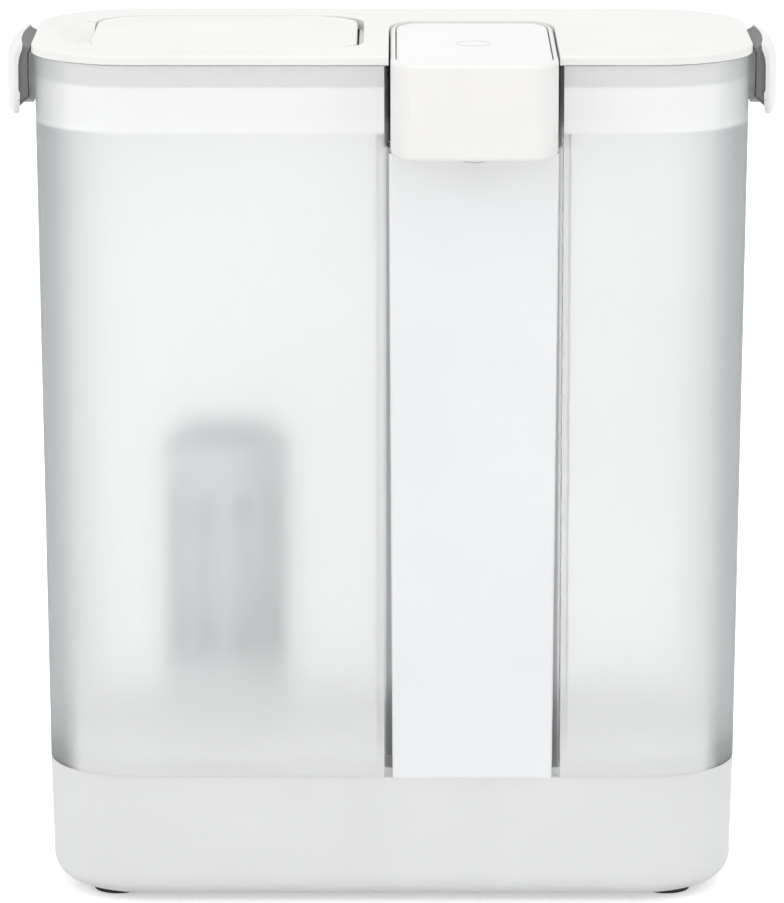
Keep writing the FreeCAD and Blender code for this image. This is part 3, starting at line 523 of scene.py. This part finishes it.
for side in ("left", "right"):
    wing, shade_block = drawn_out(WING, WING_HALF, WING_STEPS), drawn_out(SHADE_BLOCK_SECTION, SHADE_BLOCK_HALF, WING_STEPS)
    for vertex in wing.verts[:] + shade_block.verts[:]:
        bow(vertex)
    meshes = wing, drawn_out(HOOK, HOOK_HALF, 1), drawn_out(RIM, RIM_HALF, 1), shade_block
    parts = [mirrored(mesh) if side == "left" else mesh for mesh in meshes]
    made = lay_in(side + "_latch_wing", parts[0], finishes["white_satin"], side + "_latch")
    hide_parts(side + "_latch")
    lay_in(side + "_latch_hook", parts[1], finishes["white_satin"], side + "_latch")
    bridge = lay_in(side + "_rim_bridge", parts[2], finishes["white_satin"], "tank_and_lid")
    # The dark grey block is painted shade, not a part of the latch.
    shade_block_piece = lay_in(side + "_latch_painted_shade", parts[3], finishes["painted_shade_grey"], side + "_latch")
    for piece in (made, bridge, shade_block_piece):
        soft_edges(piece)
# The pads counted here are the blocks of painted shade.
print("two latch wings with hooks and pads")

# %% [markdown]
# ## Finger dish
# The scoop beside the fill cover is a soft dish that deepens towards the cover's edge. It is a grid,
# shaped to the scoop's plan, sunk by a smooth bowl and given a body that fills the scoop below.

# %% Make the dish
DISH_LEFT, DISH_RIGHT, DISH_END = -0.1105, -0.0993, -0.097
DISH_MIDDLE, DISH_HALF, DISH_CORNER = 0.0085, 0.025, 0.00675
LID_TOP, DISH_FLOOR, DISH_DEPTH, DISH_CURVE = 0.2855, 0.2802, 0.005, 0.8


def half_at(x):
    """Half the scoop's length at one place across it."""
    into = max(0.0, DISH_LEFT + DISH_CORNER - x)
    return DISH_HALF - DISH_CORNER + math.sqrt(max(0.0, DISH_CORNER ** 2 - into ** 2))


dish = bmesh.new()
bmesh.ops.create_grid(dish, x_segments=24, y_segments=48, size=1)
for vertex in dish.verts:
    x = DISH_LEFT + (DISH_RIGHT - DISH_LEFT) * (vertex.co.x + 1) / 2
    y = vertex.co.y * half_at(x)
    out = min(1.0, ((x - DISH_END) / (DISH_LEFT - DISH_END)) ** 2 + (y / DISH_HALF) ** 2)
    vertex.co = (x, DISH_MIDDLE + y, LID_TOP - DISH_DEPTH * (1 - out) ** DISH_CURVE)
body = bmesh.ops.extrude_face_region(dish, geom=dish.faces[:], use_keep_orig=True)
for vertex in [v for v in body["geom"] if isinstance(v, bmesh.types.BMVert)]:
    vertex.co.z = DISH_FLOOR
soft_edges(lay_in("finger_dish", dish, finishes["white_satin"], "tank_and_lid"))
print("dish", round(1000 * DISH_DEPTH, 1), "mm deep")

# %% [markdown]
# ## Button ring and leaf spring
# A plain raised ring marks where to press. It is a small section, spun once around the button's middle.
# The leaf spring under the button has to give way when that goes down; its mesh is taken from the
# drawing as a copy of its own, which rides on the tap head.

# %% Ring on the button
button_low, button_high = [Vector(corner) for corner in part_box("dispense_button")]
RING_STEPS = 96
RING = [(5.2, -0.1), (5.8, -0.1), (5.8, 0.02), (5.65, 0.12), (5.35, 0.12), (5.2, 0.02)]
middle = (button_low + button_high) / 2
ring = bmesh.new()
corners = [ring.verts.new((middle.x + r * MM, middle.y, button_high.z + z * MM)) for r, z in RING]
edges = [ring.edges.new((corners[i - 1], corners[i])) for i in range(len(corners))]
bmesh.ops.spin(ring, geom=corners + edges, cent=middle, axis=(0, 0, 1), angle=2 * math.pi,
               steps=RING_STEPS, use_merge=True)
moulded("ring_grey", (0.74, 0.74, 0.738), 0.3)
soft_edges(lay_in("button_ring", ring, finishes["ring_grey"], "dispense_button"), 50)
print("ring at", tuple(round(v, 4) for v in middle[:2]))


def drawn(name):
    """The mesh of a CAD node, in the drawing's frame."""
    mesh = bmesh.new()
    mesh.from_mesh(nodes[name].data)
    bmesh.ops.transform(mesh, matrix=nodes[name].matrix_world, verts=mesh.verts[:])
    return mesh


made = lay_in("button_leaf", drawn("button_spring"), finishes["steel"], "tap_head")
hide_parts("button_spring")
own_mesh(made)

# %% [markdown]
# ## Front panel
# The panel nearly fills its channel, and only a narrow dark groove shows on each side. It is the panel
# of the drawing, drawn a little wider about its middle.

# %% Widen the panel
PANEL_GROWTH = 0.0009
panel_low, panel_high = [Vector(corner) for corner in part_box("riser_cover")]
panel_middle = (panel_low + panel_high) / 2
half = (panel_high.x - panel_low.x) / 2
panel = drawn("riser_cover")
bmesh.ops.scale(panel, verts=panel.verts[:], vec=(1 + PANEL_GROWTH / half, 1, 1),
                space=Matrix.Translation(-panel_middle))
made = lay_in("channel_panel", panel, finishes["pale_panel"], "tank_and_lid")
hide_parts("riser_cover")
soft_edges(made, 30)
print("panel", round(2000 * (half + PANEL_GROWTH), 1), "mm wide, was", round(2000 * half, 1))
